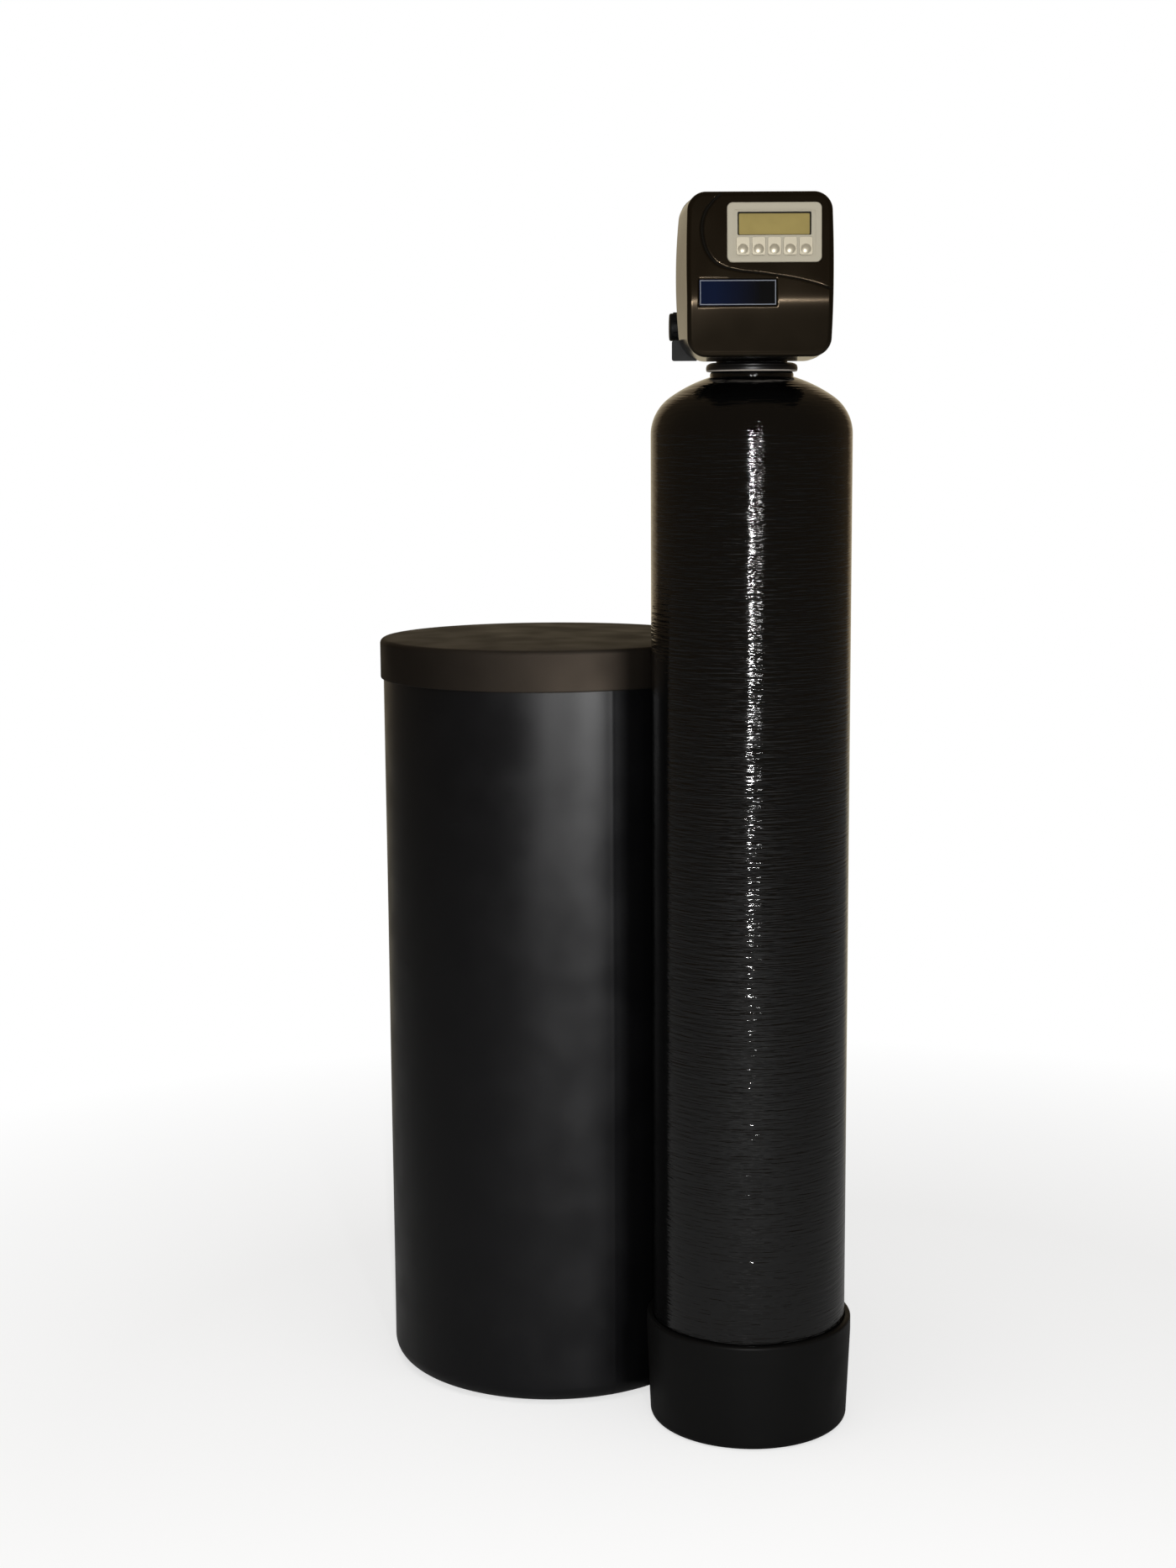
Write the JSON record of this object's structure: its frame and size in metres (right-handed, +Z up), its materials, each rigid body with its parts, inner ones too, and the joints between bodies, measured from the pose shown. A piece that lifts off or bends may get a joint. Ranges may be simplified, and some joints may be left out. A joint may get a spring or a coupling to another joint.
{
  "type": "water softener",
  "caption": "Two-tank water softener: a wound resin tank in a boot with a metered electronic control valve on top, beside a round lidded salt tank with a brine well and float.",
  "frame": {"origin": "on the floor, under the resin tank's upright axis, on the underside of its boot", "axes": "+Z up along the resin tank, -Y out of the control valve's face towards the user, +X to the right seen from the front"},
  "size_m": [0.6311, 0.6475, 1.602],
  "materials": {
    "wound_tank": "gloss black wound glass fibre and resin",
    "moulded_black": "matte black moulded plastic",
    "white_pvc": "white rigid PVC",
    "gravel": "washed quartz gravel",
    "resin": "amber ion exchange beads",
    "valve_black": "black glass-filled plastic",
    "seal_rubber": "black EPDM seal",
    "grey_spacer": "grey moulded plastic",
    "coated_piston": "smooth coated plastic",
    "white_acetal": "natural white acetal",
    "brass": "turned brass",
    "motor_steel": "zinc plated steel can",
    "shaft_steel": "ground steel",
    "cover_black": "black satin ABS",
    "silver_bezel": "silver painted plastic",
    "display_glass": "olive liquid crystal window",
    "badge_blue": "dark blue label, bare",
    "silver_button": "silver painted key, bare",
    "board_green": "green solder mask",
    "nozzle_white": "white moulded plastic",
    "red_knob": "red moulded plastic",
    "tub_black": "satin black polyethylene",
    "lid_black": "satin black polyethylene",
    "float_foam": "closed-cell foam"
  },
  "bodies": {
    "base": {"tank_shell": "wound_tank", "tank_boot": "moulded_black", "riser_tube": "white_pvc", "lower_basket": "white_pvc", "upper_basket": "white_pvc", "gravel_bed": "gravel", "resin_bed": "resin", "valve_body": "valve_black", "tank_oring": "seal_rubber", "stack_seals": "seal_rubber", "stack_spacers": "grey_spacer", "motor": "motor_steel", "drive_cap": "valve_black", "circuit_board": "board_green", "drive_bracket": "valve_black", "back_plate": "moulded_black", "power_grommet": "seal_rubber", "injector_cap": "valve_black", "injector_nozzle": "nozzle_white", "drain_elbow": "white_acetal", "drain_nut": "white_acetal", "refill_elbow": "white_acetal", "refill_nut": "white_acetal", "meter_plug": "moulded_black", "bypass_body": "valve_black", "coupling_nuts": "moulded_black", "pipe_adapters": "white_pvc", "brine_tank": "tub_black", "salt_grid": "white_pvc", "grid_legs": "white_pvc", "brine_well": "white_pvc", "float_valve": "white_pvc", "dip_tube": "white_pvc", "air_check": "white_pvc", "overflow_elbow": "moulded_black", "overflow_nut": "moulded_black"},
    "cover": {"front_cover": "cover_black", "display_bezel": "silver_bezel", "display_window": "display_glass", "badge_plate": "badge_blue"},
    "main_gear": {"main_drive_gear": "white_acetal"},
    "lower_gear": {"lower_reduction_gear": "white_acetal"},
    "upper_gear": {"upper_reduction_gear": "white_acetal"},
    "pinion": {"motor_pinion": "brass", "motor_shaft": "shaft_steel"},
    "piston": {"main_piston": "coated_piston", "piston_rod": "white_acetal", "regenerant_piston": "coated_piston"},
    "turbine": {"meter_turbine": "white_acetal"},
    "inlet_plug": {"inlet_bypass_plug": "red_knob"},
    "outlet_plug": {"outlet_bypass_plug": "red_knob"},
    "lid": {"brine_lid": "lid_black"},
    "well_lid": {"well_cap": "white_pvc"},
    "brine_float": {"float_rod": "grey_spacer", "float": "float_foam"},
    "clock_button": {"clock_button": "silver_button"},
    "next_button": {"next_button": "silver_button"},
    "down_button": {"down_button": "silver_button"},
    "up_button": {"up_button": "silver_button"},
    "regenerate_button": {"regenerate_button": "silver_button"}
  },
  "joints": [
    {"name": "cover_slide", "type": "slide", "parent": "base", "child": "cover", "axis": [0, -1, 0], "range_m": [0, 0.12]},
    {"name": "main_gear_turn", "type": "hinge", "parent": "base", "child": "main_gear", "pos_m": [0, -0.07, 1.444], "axis": [0, -1, 0], "range_deg": [0, 1440]},
    {"name": "lower_gear_turn", "type": "hinge", "parent": "base", "child": "lower_gear", "pos_m": [0.02063, -0.07, 1.47972], "axis": [0, -1, 0], "range_deg": [-5348.58, 0]},
    {"name": "upper_gear_turn", "type": "hinge", "parent": "base", "child": "upper_gear", "pos_m": [0.04661, -0.07, 1.49472], "axis": [0, -1, 0], "range_deg": [0, 12989.4]},
    {"name": "pinion_turn", "type": "hinge", "parent": "base", "child": "pinion", "pos_m": [0.05626, -0.07, 1.52444], "axis": [0, -1, 0], "range_deg": [-41133.07, 0]},
    {"name": "piston_slide", "type": "slide", "parent": "base", "child": "piston", "axis": [0, 1, 0], "range_m": [0, 0.0241]},
    {"name": "turbine_spin", "type": "hinge", "parent": "base", "child": "turbine", "pos_m": [-0.036, 0.049, 1.444], "axis": [0, 1, 0], "continuous": true},
    {"name": "inlet_plug_turn", "type": "hinge", "parent": "base", "child": "inlet_plug", "pos_m": [0.036, 0.151, 1.444], "axis": [0, 0, 1], "range_deg": [0, 90]},
    {"name": "outlet_plug_turn", "type": "hinge", "parent": "base", "child": "outlet_plug", "pos_m": [-0.036, 0.151, 1.444], "axis": [0, 0, 1], "range_deg": [-90, 0]},
    {"name": "lid_lift", "type": "slide", "parent": "base", "child": "lid", "axis": [0, 0, 1], "range_m": [0, 0.15]},
    {"name": "well_cap_lift", "type": "slide", "parent": "base", "child": "well_lid", "axis": [0, 0, 1], "range_m": [0, 0.02]},
    {"name": "float_lift", "type": "slide", "parent": "base", "child": "brine_float", "axis": [0, 0, 1], "range_m": [0, 0.012]},
    {"name": "clock_button_press", "type": "slide", "parent": "cover", "child": "clock_button", "axis": [0, 0.9976, -0.0698], "range_m": [0, 0.001], "stiffness_N_per_m": 500},
    {"name": "next_button_press", "type": "slide", "parent": "cover", "child": "next_button", "axis": [0, 0.9976, -0.0698], "range_m": [0, 0.001], "stiffness_N_per_m": 500},
    {"name": "down_button_press", "type": "slide", "parent": "cover", "child": "down_button", "axis": [0, 0.9976, -0.0698], "range_m": [0, 0.001], "stiffness_N_per_m": 500},
    {"name": "up_button_press", "type": "slide", "parent": "cover", "child": "up_button", "axis": [0, 0.9976, -0.0698], "range_m": [0, 0.001], "stiffness_N_per_m": 500},
    {"name": "regenerate_button_press", "type": "slide", "parent": "cover", "child": "regenerate_button", "axis": [0, 0.9976, -0.0698], "range_m": [0, 0.001], "stiffness_N_per_m": 500}
  ],
  "couplings": [
    {"joint": "lower_gear_turn", "follows": "main_gear_turn", "ratio": -3.7143},
    {"joint": "upper_gear_turn", "follows": "main_gear_turn", "ratio": 9.0204},
    {"joint": "pinion_turn", "follows": "main_gear_turn", "ratio": -28.565},
    {"joint": "piston_slide", "follows": "main_gear_turn", "m_per_rad": 0.00095493}
  ]
}
